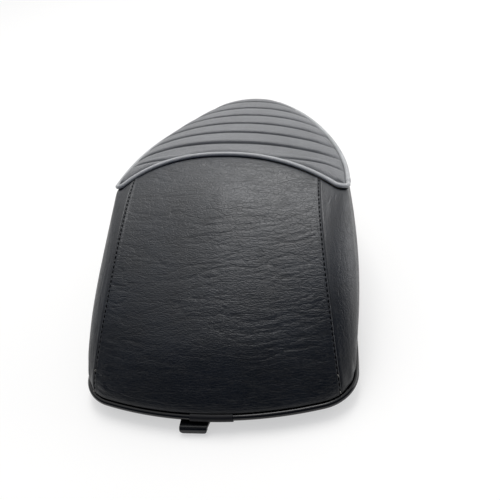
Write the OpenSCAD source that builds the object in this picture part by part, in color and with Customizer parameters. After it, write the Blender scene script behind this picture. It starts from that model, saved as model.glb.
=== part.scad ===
// Scooter hump seat: a single saddle with a plain sloping back, a cross-ribbed top,
// a pressed steel pan, a sprung rear catch and a front hinge.
// X is lateral, +Y points to the nose, +Z is up, and Z = 0 is the plane it rests on.
// Lengths are millimetres, angles are degrees.

/* [Outline in plan] */
// Width of the seat between the centres of its edge trim
seat_w = 238; // [225:1:260]
// Radius of the rear edge
rear_r = 328; // [300:1:380]
// Radius of the rear corners
corner_r = 36; // [33:1:45]
// Radius of the long sides
side_r = 885; // [800:5:1000]
// Radius of the nose
nose_r = 59.5; // [50:0.5:66]

/* [Ribbed top] */
// Distance from the rear edge to the middle of the crest
crest_y = 215; // [205:1:225]
// Half width of the top at the rear corners of its piping
top_half_w = 112; // [108:1:114]
// Radius by which the crest bows back towards its corners
crest_r = 163; // [152:1:190]
// Radius of the piping's corners
top_corner_r = 6; // [5:0.5:9]
// Radius of the top's sides
top_side_r = 340; // [330:2:352]
// Radius of the top's nose
top_nose_r = 42; // [36:1:46]
// Height of the piping at the middle of the crest
crest_z = 138; // [128:1:146]
// Fall of the piping from the middle of the crest to its corners
crest_fall = 16.5; // [10:0.5:22]
// Fall of the piping from its corners to the start of the nose
side_fall = 22; // [15:1:28]
// Further fall of the piping round the nose
nose_fall = 12.5; // [5:0.5:14]
// Rise of the middle of the top above the piping
crown = 2.5; // [2:0.5:6]
// Distance between the cross seams
rib_pitch = 25.5; // [22:0.5:28]
// Distance from the crest to the first seam in front of it
first_seam = 18; // [10:1:20]
// Height of a rib above its seams
rib_h = 4; // [2.5:0.5:5]

/* [Cover and foam] */
// Thickness of the cover
cover_t = 1.2; // [1:0.1:1.6]
// Thickness of the padded top at its seams
top_t = 2.4; // [2:0.1:3]
// Half width of the back panel at its foot
seam_foot_x = 108; // [104:1:112]
// Half width of the back panel at the crest
seam_head_x = 90.5; // [84:0.5:93]
// Gap between two soft pieces
soft_gap = 0.3; // [0.2:0.05:0.5]
// Radius of the piping
piping_r = 2.1; // [1.8:0.1:2.4]

/* [Pan] */
// Thickness of the pressed sheet
pan_t = 1.2; // [1:0.1:1.6]
// Height of the pan's underside above the ground
pan_z = 24; // [22:0.5:26]
// Height of the lower end of the pan's rim
rim_z = 13.8; // [13.5:0.1:14.2]
// Distance from the edge trim's centre line in to the rim
rim_inset = 8; // [7.5:0.1:8.5]
// Rise of the pressed ribs that carry the foam
swage_h = 2.6; // [2.4:0.1:3.2]
// Radius of a drain hole
drain_r = 6; // [4:0.5:8]

/* [Edge trim] */
// Radius of the trim's round bead
bead_r = 2.75; // [2.5:0.05:2.9]
// Height of the bead's centre
bead_z = 14; // [13.9:0.05:14.2]
// Wall of the trim's channel
trim_wall = 1.2; // [1:0.1:1.4]
// Length of the sleeve over the trim's joint
sleeve_len = 36; // [25:1:45]
// Wall of the sleeve
sleeve_t = 0.8; // [0.5:0.1:1]
// Lateral place of the sleeve's middle
sleeve_x = 2; // [-15:1:15]

/* [Rear catch] */
// Lateral place of the catch
catch_x = -13; // [-30:1:0]
// Width of the catch lever
lever_w = 25; // [22:1:28]
// Thickness of the lever's plate
lever_t = 2; // [1.6:0.1:2.2]
// Distance that the finger tab reaches behind the edge trim
tab_reach = 7; // [6:1:12]
// Drop of the finger tab's lip
lip_drop = 5.2; // [5:0.1:7]
// Distance from the rear edge to the catch's pivot
pivot_y = 22; // [20:1:26]
// Height of the catch's pivot
pivot_z = 17; // [16.5:0.25:17.5]
// Radius of the pivot pin
catch_pin_r = 2; // [1.8:0.1:2.2]
// Thickness of the catch bracket
bracket_t = 1.6; // [1.2:0.1:1.8]
// Radius of the spring's coils at the wire's centre
coil_r = 3.5; // [3.4:0.05:3.6]
// Radius of the spring wire
wire_r = 0.55; // [0.45:0.05:0.6]
// Number of turns of the spring
coil_turns = 5; // [3:1:6]

/* [Front hinge] */
// Clearance between the hinge and the edge trim's channel
hinge_clear = 1.5; // [1:0.5:4]
// Width of the hinge
hinge_w = 60; // [50:1:70]
// Thickness of the hinge's leaves
leaf_t = 2.5; // [2:0.1:3]
// Length of the hinge's frame leaf
leaf_len = 44; // [36:1:50]
// Radius of the hinge pin
hinge_pin_r = 3; // [2.5:0.1:3.2]
// Distance between the hinge's bolts
bolt_spacing = 40; // [32:1:46]
// Radius of the hinge's bolt shanks
bolt_r = 3; // [2.5:0.5:3]

/* [Rubber buffers] */
// Radius of a buffer at the pan
buffer_r = 12; // [10:0.5:14]
// Radius of a buffer at its foot
buffer_foot_r = 10; // [8:0.5:10]
// Distance from the rear edge to the rear buffers
rear_buffer_y = 72; // [60:1:85]
// Distance of the rear buffers in from the side
rear_buffer_in = 36; // [30:1:50]
// Distance from the rear edge to the front buffers
front_buffer_y = 330; // [310:1:335]
// Clearance between a front buffer and the edge trim's channel
buffer_clear = 1.2; // [0.8:0.2:4]

/* [Hidden] */

black = [0.06, 0.06, 0.07];
soft_black = [0.1, 0.1, 0.11];
steel = [0.62, 0.64, 0.66];
pan_black = [0.13, 0.13, 0.14];
foam_yellow = [0.86, 0.78, 0.5];
rubber_black = [0.08, 0.08, 0.08];

run_gap = 0.08;  // radial play of a pin in a bore that turns on it
fit_gap = 0.1;   // play between pieces that are bolted or pressed together
fine = 48;

half_w = seat_w / 2;
rear_buffer_x = half_w - rear_buffer_in;
pan_top = pan_z + pan_t;
foam_z = pan_top + swage_h + soft_gap;
channel_gap = 0.3;
channel_in = rim_inset + pan_t + channel_gap;
channel_end = channel_in + trim_wall;

// An arc is [centre, radius, first angle, last angle, side that faces out].
// Its angles start at the rear (-Y) and grow towards the right side (+X).
function arc_at(a, t, inset = 0) =
    let (w = a[2] + (a[3] - a[2]) * t)
    a[0] + (a[1] - a[4] * inset) * [sin(w), -cos(w)];
function arc_out(a, t) =
    let (w = a[2] + (a[3] - a[2]) * t)
    a[4] * [sin(w), -cos(w)];
function arc_len(a) = PI / 180 * a[1] * abs(a[3] - a[2]);
function len_to(arcs, n) = n == 0 ? 0 : arc_len(arcs[n - 1]) + len_to(arcs, n - 1);
function arc_no(arcs, s, n = 0) =
    n == len(arcs) - 1 || s < arc_len(arcs[n]) ? [n, s / arc_len(arcs[n])]
    : arc_no(arcs, s - arc_len(arcs[n]), n + 1);
function along(arcs, s, inset = 0) =
    let (q = arc_no(arcs, s)) arc_at(arcs[q[0]], q[1], inset);
function out_along(arcs, s) =
    let (q = arc_no(arcs, s)) arc_out(arcs[q[0]], q[1]);

function mix(a, b, t) = a + (b - a) * t;
function clamp01(t) = min(1, max(0, t));
function ease(t) = let (c = clamp01(t)) c * c * (3 - 2 * c);
function unit(v) = v / norm(v);
function bezier(a, b, c, d, t) =
    (1 - t) ^ 3 * a + 3 * (1 - t) ^ 2 * t * b + 3 * (1 - t) * t ^ 2 * c + t ^ 3 * d;

// Right half of the seat's outline: rear edge, corner, side and nose, all tangent
wide_y = rear_r - sqrt((rear_r - corner_r) ^ 2 - (half_w - corner_r) ^ 2);
rear_turn = asin((half_w - corner_r) / (rear_r - corner_r));
nose_y = wide_y + sqrt((side_r - nose_r) ^ 2 - (side_r - half_w) ^ 2);
side_turn = asin((nose_y - wide_y) / (side_r - nose_r));
base_arcs = [
    [[0, rear_r], rear_r, 0, rear_turn, 1],
    [[half_w - corner_r, wide_y], corner_r, rear_turn, 90, 1],
    [[half_w - side_r, wide_y], side_r, 90, 90 + side_turn, 1],
    [[0, nose_y], nose_r, 90 + side_turn, 180, 1]
];
base_len = len_to(base_arcs, 4);
nose_tip = nose_y + nose_r;
function side_x(y, inset) =
    half_w - side_r + sqrt((side_r - inset) ^ 2 - (y - wide_y) ^ 2);

// The front buffers and the hinge lie as far out as the trim's channel lets them
front_buffer_x = side_x(front_buffer_y, channel_end + buffer_r + buffer_clear);
knuckle_r = hinge_pin_r + leaf_t;
hinge_y = nose_y + sqrt((nose_r - channel_end) ^ 2 - (hinge_w / 2) ^ 2)
    - knuckle_r - hinge_clear;
mid_y = (nose_tip + bead_r - tab_reach - lever_t / 2) / 2;

// Right half of the top's outline: bowed crest, corner, side and nose
crest_turn = asin((top_half_w - top_corner_r) / (crest_r + top_corner_r));
bow_y = crest_y - crest_r;
corner_y = bow_y + (crest_r + top_corner_r) * cos(crest_turn);
tip_y = corner_y + sqrt((top_side_r - top_nose_r) ^ 2 - (top_side_r - top_half_w) ^ 2);
top_turn = asin((tip_y - corner_y) / (top_side_r - top_nose_r));
top_arcs = [
    [[0, bow_y], crest_r, 180, 180 - crest_turn, -1],
    [[top_half_w - top_corner_r, corner_y], top_corner_r, -crest_turn, 90, 1],
    [[top_half_w - top_side_r, corner_y], top_side_r, 90, 90 + top_turn, 1],
    [[0, tip_y], top_nose_r, 90 + top_turn, 180, 1]
];
top_len = len_to(top_arcs, 4);
corner_len = len_to(top_arcs, 2);
nose_len = len_to(top_arcs, 3);

// Height of the piping at a length along the top's outline
crest_power = 2.4;
function pipe_z(s) =
    crest_z - crest_fall * min(1, s / corner_len) ^ crest_power
    - side_fall * clamp01((s - corner_len) / (nose_len - corner_len))
    - nose_fall * clamp01((s - nose_len) / (top_len - nose_len));

// Where the back panel's seams leave the two outlines
seam_foot = len_to(base_arcs, 1) + PI / 180 * corner_r
    * (asin((seam_foot_x - half_w + corner_r) / corner_r) - rear_turn);
seam_head = PI / 180 * crest_r * asin(seam_head_x / crest_r);

// The walls rise from above the edge trim to the piping along Bezier curves
wall_foot_z = bead_z + bead_r + 1.2;
back_rise = 10;
back_run = 84;
back_slope = 7;
side_rise = 50;
side_bulge = 10;
side_drop = 19;
side_lean = 2;
turn_len = 44;
function wall(foot, head, v) =
    let (
        f = along(base_arcs, foot),
        h = along(top_arcs, head),
        fo = out_along(base_arcs, foot),
        ho = out_along(top_arcs, head),
        w = ease((head - seam_head) / turn_len),
        a = [f[0], f[1], wall_foot_z],
        d = [h[0], h[1], pipe_z(head)],
        b = mix([0, 0, back_rise], [fo[0], fo[1], 0] * side_bulge + [0, 0, side_rise], w),
        c = mix(-back_run * [0, cos(back_slope), sin(back_slope)],
                [ho[0], ho[1], 0] * side_lean - [0, 0, side_drop], w)
    )
    bezier(a, a + b, d + c, d, v);

// A wall point at a distance under the skin
step = 0.005;
function feet(u, back) = back ? u * seam_foot : mix(seam_foot, base_len, u);
function heads(u, back) = back ? u * seam_head : mix(seam_head, top_len, u);
function wall_uv(u, v, back) =
    let (w = back ? abs(u) : u, p = wall(feet(w, back), heads(w, back), v))
    [w == u ? p[0] : -p[0], p[1], p[2]];
function wall_in(u, v, back, depth) =
    let (
        du = wall_uv(u + step, v, back) - wall_uv(u - step, v, back),
        dv = wall_uv(u, v + step, back) - wall_uv(u, v - step, back)
    )
    wall_uv(u, v, back) - depth * unit(cross(du, dv));

// Share of a wall that its upper edge stays short of the piping's centre line
function head_share(u, back) =
    let (
        du = wall_uv(u + step, 1, back) - wall_uv(u - step, 1, back),
        dv = (wall_uv(u, 1, back) - wall_uv(u, 0.9, back)) / 0.1
    )
    head_gap / norm(cross(unit(du), dv));

// Half widths of the top at a distance from the rear, with the length along its outline
function top_outer(y, inset = 0) =
    let (k = y < corner_y ? 1 : y < arc_at(top_arcs[2], 1)[1] ? 2 : 3,
        a = top_arcs[k],
        r = a[1] - inset,
        w = acos(min(1, max(-1, (a[0][1] - y) / r))))
    [a[0][0] + r * sin(w), len_to(top_arcs, k) + PI / 180 * a[1] * (w - a[2])];
function top_inner(y, inset = 0) =
    let (tangent_y = arc_at(top_arcs[1], 0, inset)[1],
        r = y < tangent_y ? top_corner_r - inset : crest_r + inset,
        w = acos(min(1, max(-1, y < tangent_y ? (corner_y - y) / r : (y - bow_y) / r))))
    y > crest_y + inset ? [0, 0]
    : y < tangent_y
    ? [top_arcs[1][0][0] - r * sin(w), len_to(top_arcs, 1)
        + PI / 180 * top_corner_r * (crest_turn - w)]
    : [r * sin(w), PI / 180 * crest_r * w];

// Height of the top along its middle, which rounds down at the nose
spine_slope = 4.6;
spine_bend = 0.00034;
nose_round = 60;
top_tip = tip_y + top_nose_r;
function long_z(y) =
    let (d = max(0, y - crest_y))
    crest_z + crown * ease(d / 20) - tan(spine_slope) * d - spine_bend * d * d;
function spine_z(y) =
    long_z(y) - (long_z(top_tip) - pipe_z(top_len))
    * clamp01((y - top_tip + nose_round) / nose_round) ^ 2;
crown_power = 2.1;
function across_z(y, t, inset = 0) =
    let (e = top_outer(y, inset), i = top_inner(y, inset), ez = pipe_z(e[1]),
        iz = y < crest_y + inset ? pipe_z(i[1]) : spine_z(y))
    ez + (iz - ez) * (1 - (1 - t) ^ crown_power);
function across_x(y, t, inset = 0) =
    mix(top_outer(y, inset)[0], top_inner(y, inset)[0], t);

// Rise of the padding between two cross seams
seam_y = crest_y + first_seam;
function rib_rise(y) =
    let (p = (y - seam_y) / rib_pitch, f = p - floor(p))
    rib_h * sin(180 * f) ^ 0.6;

// Faces of a closed skin: its outer grid of rows times columns, then its inner one
function grid_faces(rows, cols) =
    let (
        n = rows * cols,
        skins = [
            for (i = [0:rows - 2], j = [0:cols - 2])
                let (a = i * cols + j, b = a + cols)
                each [[a, b + 1, b], [a, a + 1, b + 1],
                    [n + a, n + b, n + b + 1], [n + a, n + b + 1, n + a + 1]]
        ],
        rim = concat(
            [for (i = [0:rows - 2]) i * cols],
            [for (j = [0:cols - 2]) (rows - 1) * cols + j],
            [for (i = [rows - 1:-1:1]) i * cols + cols - 1],
            [for (j = [cols - 1:-1:1]) j]
        )
    )
    concat(skins, rim_faces(rim, n));

// Faces between a closed rim and its copy a number of points further on
function rim_faces(rim, shift) = [
    for (i = [0:len(rim) - 1])
        let (a = rim[i], b = rim[(i + 1) % len(rim)])
        each [[a, b, b + shift], [a, b + shift, a + shift]]
];

// A sewn cover panel from its hem, tucked inside the edge trim, up to the piping
hem_z = rim_z + 0.4;
hem_inset = rim_inset - soft_gap - cover_t;
tuck_z = bead_z + bead_r + 0.1;
head_gap = piping_r + soft_gap;
module cover_panel(us, vs, back) {
    hem = function (u, z, inset)
        let (w = back ? abs(u) : u, p = along(base_arcs, feet(w, back), inset))
        [w == u ? p[0] : -p[0], p[1], z];
    skin = function (k) [
        for (u = us)
            let (upper = 1 - head_share(u, back))
            each concat(
                [hem(u, hem_z, hem_inset + k * cover_t),
                    hem(u, tuck_z + k * cover_t, hem_inset + k * cover_t)],
                [for (v = vs) wall_in(u, v * upper, back, k * cover_t)]
            )
    ];
    polyhedron(concat(skin(0), skin(1)), grid_faces(len(us), len(vs) + 2), convexity = 6);
}

// A round tube swept along points, closed on itself or with flat ends
module swept_tube(path, r, sides, closed) {
    n = len(path);
    tangent = function (i) closed
        ? unit(path[(i + 1) % n] - path[(i + n - 1) % n])
        : unit(path[min(n - 1, i + 1)] - path[max(0, i - 1)]);
    across = function (t) unit(cross(t, abs(t[2]) < 0.9 ? [0, 0, 1] : [1, 0, 0]));
    points = [
        for (i = [0:n - 1])
            let (t = tangent(i), a = across(t), b = cross(a, t))
            for (k = [0:sides - 1])
                let (w = 360 * k / sides)
                path[i] + r * (cos(w) * a + sin(w) * b)
    ];
    last = closed ? n - 1 : n - 2;
    walls = [
        for (i = [0:last], k = [0:sides - 1])
            let (j = (i + 1) % n, m = (k + 1) % sides)
            each [[i * sides + k, i * sides + m, j * sides + m],
                [i * sides + k, j * sides + m, j * sides + k]]
    ];
    ends = closed ? [] : [
        [for (k = [sides - 1:-1:0]) k],
        [for (k = [0:sides - 1]) (n - 1) * sides + k]
    ];
    polyhedron(points, concat(walls, ends), convexity = 6);
}

// Plan outline of the seat as a polygon, moved in by a distance
outline_steps = [20, 12, 24, 16];
function half_outline(inset) = [
    for (k = [0:3])
        for (i = [0:outline_steps[k] - 1])
            arc_at(base_arcs[k], i / outline_steps[k], inset)
];
module plan(inset) {
    half = half_outline(inset);
    tip = [0, nose_tip - inset];
    polygon(concat(
        half, [tip], [for (i = [len(half) - 1:-1:1]) [-half[i][0], half[i][1]]]
    ));
}

// A section, listed as [distance outward, height], swept round the whole outline
module round_outline(section, steps) {
    half = [for (k = [0:3], i = [0:steps[k] - 1]) [base_arcs[k], i / steps[k]]];
    tip = [base_arcs[3], 1];
    ring = concat(
        [for (q = half) [q, 1]], [[tip, 1]], [for (i = [len(half) - 1:-1:1]) [half[i], -1]]
    );
    n = len(ring);
    m = len(section);
    points = [
        for (g = ring, p = section)
            let (c = arc_at(g[0][0], g[0][1], -p[0]))
            [g[1] * c[0], c[1], p[1]]
    ];
    faces = [
        for (i = [0:n - 1], j = [0:m - 1])
            let (a = i * m, b = (i + 1) % n * m, k = (j + 1) % m)
            each [[a + j, b + k, b + j], [a + j, a + k, b + k]]
    ];
    polyhedron(points, faces, convexity = 8);
}

module seated() {
    translate([0, -mid_y, 0]) children();
}

// The padded top is a lattice of rows that run straight across. The rows behind the
// middle of the crest split into a right and a left lobe, and gain a point each.
rib_steps = [0, 0.12, 0.36, 0.64, 0.88];
lobe_points = 3;
edge_crowding = 1.35;
row_margin = 0.6;
first_row = corner_y - top_corner_r + head_gap + row_margin;
crest_row = crest_y + head_gap;
last_row = top_tip - head_gap - row_margin;
rib_rows = [
    for (k = [floor((first_row - seam_y) / rib_pitch):floor((last_row - seam_y) / rib_pitch)],
        f = rib_steps)
        seam_y + rib_pitch * (k + f)
];
crest_angles = [12, 6];
bow_rows = [for (w = crest_angles) bow_y + (crest_r + head_gap) * cos(w)];
rear_rows = concat([first_row],
    [for (y = rib_rows) if (y > first_row + 1 && y < bow_rows[0] - 1) y], bow_rows);
rows = concat(rear_rows, [crest_row],
    [for (y = rib_rows) if (y > crest_row + 1 && y < last_row - 1) y], [last_row]);
split = len(rear_rows);
full = lobe_points + split;
function row_points(i) = min(full, lobe_points + i);
function row_start(i) =
    i <= split ? i * (2 * lobe_points + i - 1)
    : row_start(split) + (i - split) * (2 * full - 1);
function lattice_id(side, i, k) =
    row_start(i) + (
        i < split ? side * row_points(i) + k
        : side == 0 ? k
        : 2 * full - 2 - k
    );
lattice_size = row_start(len(rows));
function lattice_point(side, i, k, under) =
    let (
        y = rows[i],
        last = row_points(i) - 1,
        t = (k / last) ^ edge_crowding,
        rim = k == 0 || i == 0 || i == len(rows) - 1 || (k == last && i <= split),
        lift = under ? -top_t : rim ? 0 : rib_rise(y)
    )
    [(side == 0 ? 1 : -1) * across_x(y, t, head_gap), y, across_z(y, t, head_gap) + lift];
function lattice_points(under) = [
    for (i = [0:len(rows) - 1])
        each concat(
            [for (k = [0:row_points(i) - 1]) lattice_point(0, i, k, under)],
            [for (k = [row_points(i) - 1:-1:0]) if (i >= split && k < full - 1)
                lattice_point(1, i, k, under)],
            [for (k = [0:row_points(i) - 1]) if (i < split) lattice_point(1, i, k, under)]
        )
];
lattice_faces = [
    for (side = [0, 1], i = [0:len(rows) - 2], k = [0:row_points(i) - 1])
        let (
            a = lattice_id(side, i, k),
            b = lattice_id(side, i + 1, k),
            c = lattice_id(side, i + 1, k + 1),
            d = lattice_id(side, i, k + 1),
            last = k == row_points(i) - 1,
            grows = row_points(i + 1) > row_points(i)
        )
        each concat(
            !last || grows ? [side == 0 ? [a, c, b] : [a, b, c]] : [],
            !last ? [side == 0 ? [a, d, c] : [a, c, d]] : []
        )
];
front = len(rows) - 1;
lattice_rim = concat(
    [for (i = [split:-1:0]) lattice_id(0, i, row_points(i) - 1)],
    [for (k = [lobe_points - 2:-1:1]) lattice_id(0, 0, k)],
    [for (i = [0:front]) lattice_id(0, i, 0)],
    [for (k = [1:full - 1]) lattice_id(0, front, k)],
    [for (k = [full - 2:-1:1]) lattice_id(1, front, k)],
    [for (i = [front:-1:0]) lattice_id(1, i, 0)],
    [for (k = [1:lobe_points - 2]) lattice_id(1, 0, k)],
    [for (i = [0:split - 1]) lattice_id(1, i, row_points(i) - 1)]
);

// Foam: rings round the seat from its foot up the walls and in over the top
foam_steps = [5, 20];
foam_walls = [0, 0.2, 0.42, 0.66, 0.86, 1];
foam_caps = [0, 0.22, 0.48, 0.76];
foam_inset = 5;
foam_clear = 0.7;
foam_shoulder = 1.9;
foam_depth = cover_t + soft_gap + foam_clear;
foam_under = top_t + soft_gap + foam_clear + foam_shoulder;
heart = [0, 290];
function v_at_z(u, back, z, lo = 0, hi = 1, n = 12) =
    let (m = (lo + hi) / 2)
    n == 0 ? m
    : wall_in(u, m, back, foam_depth)[2] < z ? v_at_z(u, back, z, m, hi, n - 1)
    : v_at_z(u, back, z, lo, m, n - 1);
function top_z(x, y) =
    let (e = top_outer(y)[0], i = top_inner(y)[0])
    across_z(y, clamp01((e - abs(x)) / (e - i)));
half_stations = concat(
    [for (k = [0:foam_steps[0] - 1]) [k / foam_steps[0], true]],
    [for (k = [0:foam_steps[1]]) [k / foam_steps[1], false]]
);
function foam_wall(q, f) =
    let (
        u = q[0],
        back = q[1],
        low = v_at_z(u, back, foam_z),
        v = mix(low, 1 - head_share(u, back), f),
        p = wall_in(u, v, back, foam_depth + foam_shoulder * f)
    )
    f == 0 ? [p[0], p[1], foam_z] : p;
function foam_cap(q, f) =
    let (
        e = along(top_arcs, heads(q[0], q[1]), foam_inset),
        p = mix(e, heart, f)
    )
    [p[0], p[1], top_z(p[0], p[1]) - foam_under];
function whole_ring(half) = concat(
    half, [for (i = [len(half) - 2:-1:1]) [-half[i][0], half[i][1], half[i][2]]]
);
module foam_pad() {
    rings = concat(
        [for (f = foam_walls) whole_ring([for (q = half_stations) foam_wall(q, f)])],
        [for (f = foam_caps) whole_ring([for (q = half_stations) foam_cap(q, f)])]
    );
    n = len(rings[0]);
    m = len(rings);
    peak = [heart[0], heart[1], top_z(heart[0], heart[1]) - foam_under];
    color(foam_yellow) seated() polyhedron(
        concat([for (r = rings) each r], [peak]),
        concat(
            [[for (k = [0:n - 1]) k]],
            [for (i = [0:m - 2], k = [0:n - 1])
                let (a = i * n + k, b = i * n + (k + 1) % n)
                each [[a, b + n, b], [a, a + n, b + n]]],
            [for (k = [0:n - 1]) [(m - 1) * n + k, m * n, (m - 1) * n + (k + 1) % n]]
        ),
        convexity = 6
    );
}

// Cover
back_columns = 12;
side_columns = [3, 6, 13, 9];
wall_rows = [0, 0.06, 0.14, 0.24, 0.36, 0.48, 0.6, 0.72, 0.84, 0.93, 1];
seam_margin = soft_gap / 2;
back_edge = 1 - seam_margin / seam_foot;
side_edge = seam_margin / (base_len - seam_foot);
side_breaks = [
    side_edge, (len_to(top_arcs, 1) - seam_head) / (top_len - seam_head),
    (corner_len - seam_head) / (top_len - seam_head),
    (len_to(base_arcs, 3) - seam_foot) / (base_len - seam_foot), 1 - side_edge
];
module cover_rear_panel() {
    us = [for (k = [-back_columns:back_columns]) back_edge * k / back_columns];
    color(soft_black) seated() cover_panel(us, wall_rows, true);
}
module cover_side() {
    us = concat(
        [for (k = [0:3], i = [0:side_columns[k] - 1])
            mix(side_breaks[k], side_breaks[k + 1], i / side_columns[k])],
        [side_breaks[4]]
    );
    color(soft_black) seated() cover_panel(us, wall_rows, false);
}
module cover_side_left() {
    mirror([1, 0, 0]) cover_side();
}
module cover_side_right() {
    cover_side();
}
module cover_top_ribbed() {
    color(soft_black) seated() polyhedron(
        concat(lattice_points(false), lattice_points(true)),
        concat(
            lattice_faces,
            [for (f = lattice_faces) [for (k = [2:-1:0]) f[k] + lattice_size]],
            rim_faces(lattice_rim, lattice_size)
        ),
        convexity = 8
    );
}
piping_steps = [12, 8, 17, 7];
piping_sides = 8;
module piping_welt() {
    half = [
        for (k = [0:3])
            for (i = [0:piping_steps[k] - 1])
                let (s = len_to(top_arcs, k) + arc_len(top_arcs[k]) * i / piping_steps[k],
                    p = along(top_arcs, s))
                [p[0], p[1], pipe_z(s)]
    ];
    tip = [0, top_tip, pipe_z(top_len)];
    color(black) seated() swept_tube(whole_ring(concat(half, [tip])), piping_r, piping_sides, true);
}

// Edge trim: a round bead outside a channel that grips the hem and the pan's rim
leg_h = 6;
trim_steps = [10, 8, 13, 11];
bead_steps = 11;
module edge_trim() {
    base_z = rim_z - channel_gap - trim_wall;
    low = asin((bead_z - base_z) / bead_r);
    high = asin((bead_z - base_z - trim_wall) / bead_r);
    section = concat(
        [for (k = [0:bead_steps])
            let (w = mix(low - 180, 180 + high, k / bead_steps))
            [bead_r * cos(w), bead_z + bead_r * sin(w)]],
        [[-channel_in, base_z + trim_wall], [-channel_in, base_z + leg_h],
            [-channel_end, base_z + leg_h], [-channel_end, base_z]]
    );
    color(black) seated() round_outline(section, trim_steps);
}
module trim_joint_sleeve() {
    half_turn = 90 / PI * sleeve_len / rear_r;
    start = asin(sleeve_x / rear_r) - half_turn - 90;
    color(black) seated() translate([0, rear_r])
        rotate_extrude(angle = 2 * half_turn, start = start, $fn = 4 * fine)
            translate([rear_r, bead_z])
                difference() {
                    circle(bead_r + fit_gap + sleeve_t, $fn = fine);
                    circle(bead_r + fit_gap, $fn = fine);
                    translate([-3 * bead_r - 0.5, -2 * bead_r])
                        square([3 * bead_r - 0.5, 4 * bead_r]);
                }
}

// Pan: a plate with a turned-down rim and pressed ribs that carry the foam
swage_w = 14;
swage_x = 42;
cross_swages = [rear_buffer_y + 28, 165, 250, front_buffer_y - 22];
swage_ends = [rear_buffer_y + 6, cross_swages[3]];
swage_margin = 13;
cross_reach = 74;
drain_rows = [cross_swages[0] + 32, cross_swages[2] + 29];
drains = [
    [0, drain_rows[0]], [0, 207], [0, drain_rows[1]], [-64, drain_rows[0]],
    [64, drain_rows[0]], [-60, drain_rows[1]], [60, drain_rows[1]]
];
hinge_bolt_y = hinge_y - 26;
rivet_dx = lever_w / 2 + bracket_t + 6;
rivet_dy = 7;
rivet_r = 1.6;
screw_r = 2.5;
function buffer_places() = [
    [-rear_buffer_x, rear_buffer_y], [rear_buffer_x, rear_buffer_y],
    [-front_buffer_x, front_buffer_y], [front_buffer_x, front_buffer_y]
];
function rivet_places() = [
    for (x = [-1, 1], y = [-1, 1]) [catch_x + x * rivet_dx, pivot_y + 2 + y * rivet_dy]
];
function bolt_places() = [for (x = [-1, 1]) [x * bolt_spacing / 2, hinge_bolt_y]];
module slot(a, b, w) {
    d = b - a;
    translate(a) circle(w / 2, $fn = fine);
    translate(b) circle(w / 2, $fn = fine);
    translate(a) rotate(atan2(d[1], d[0])) translate([0, -w / 2]) square([norm(d), w]);
}
module swages(w) {
    for (x = [-swage_x, swage_x]) slot([x, swage_ends[0]], [x, swage_ends[1]], w);
    for (y = cross_swages)
        let (x = min(cross_reach, side_x(y, rim_inset) - swage_margin)) slot([-x, y], [x, y], w);
}
module drill(places, r) {
    for (p = places)
        translate([p[0], p[1], pan_z - 1]) cylinder(r = r, h = pan_t + 2, $fn = fine);
}
module base_pan() {
    color(pan_black) seated() difference() {
        union() {
            translate([0, 0, pan_z]) linear_extrude(pan_t) plan(rim_inset);
            translate([0, 0, rim_z]) linear_extrude(pan_z - rim_z + pan_t) difference() {
                plan(rim_inset);
                plan(rim_inset + pan_t);
            }
            translate([0, 0, pan_z]) linear_extrude(pan_t + swage_h) swages(swage_w);
        }
        translate([0, 0, pan_z - 1]) linear_extrude(swage_h + 1) swages(swage_w - 2 * pan_t);
        drill(drains, drain_r);
        drill(bolt_places(), bolt_r + fit_gap);
        drill(rivet_places(), rivet_r + fit_gap);
        drill(buffer_places(), screw_r + fit_gap);
    }
}

// Sheet-metal profiles: a path with rounded bends, given a thickness
function bend(p, r, steps = 4) = [
    for (i = [0:len(p) - 1])
        if (i == 0 || i == len(p) - 1) p[i]
        else let (
            a = unit(p[i - 1] - p[i]),
            b = unit(p[i + 1] - p[i]),
            half = acos(a * b) / 2,
            c = p[i] + unit(a + b) * r / sin(half),
            from = p[i] + a * r / tan(half) - c,
            to = p[i] + b * r / tan(half) - c,
            sweep = 180 - 2 * half
        )
        each [for (k = [0:steps])
            c + (from * sin(sweep * (1 - k / steps)) + to * sin(sweep * k / steps)) / sin(sweep)]
];
function ribbon(path, t) =
    let (
        n = len(path),
        side = [
            for (i = [0:n - 1])
                let (
                    a = unit(path[max(i, 1)] - path[max(i, 1) - 1]),
                    b = unit(path[min(i, n - 2) + 1] - path[min(i, n - 2)]),
                    m = unit([-a[1] - b[1], a[0] + b[0]])
                )
                m * t / 2 / (m * [-a[1], a[0]])
        ]
    )
    concat([for (i = [0:n - 1]) path[i] + side[i]], [for (i = [n - 1:-1:0]) path[i] - side[i]]);

// Draws a profile of [distance from the rear, height] across the catch or the hinge
module across(w) {
    translate([w / 2, 0, 0]) rotate([90, 0, -90]) mirror([1, 0, 0]) linear_extrude(w) children();
}

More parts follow.
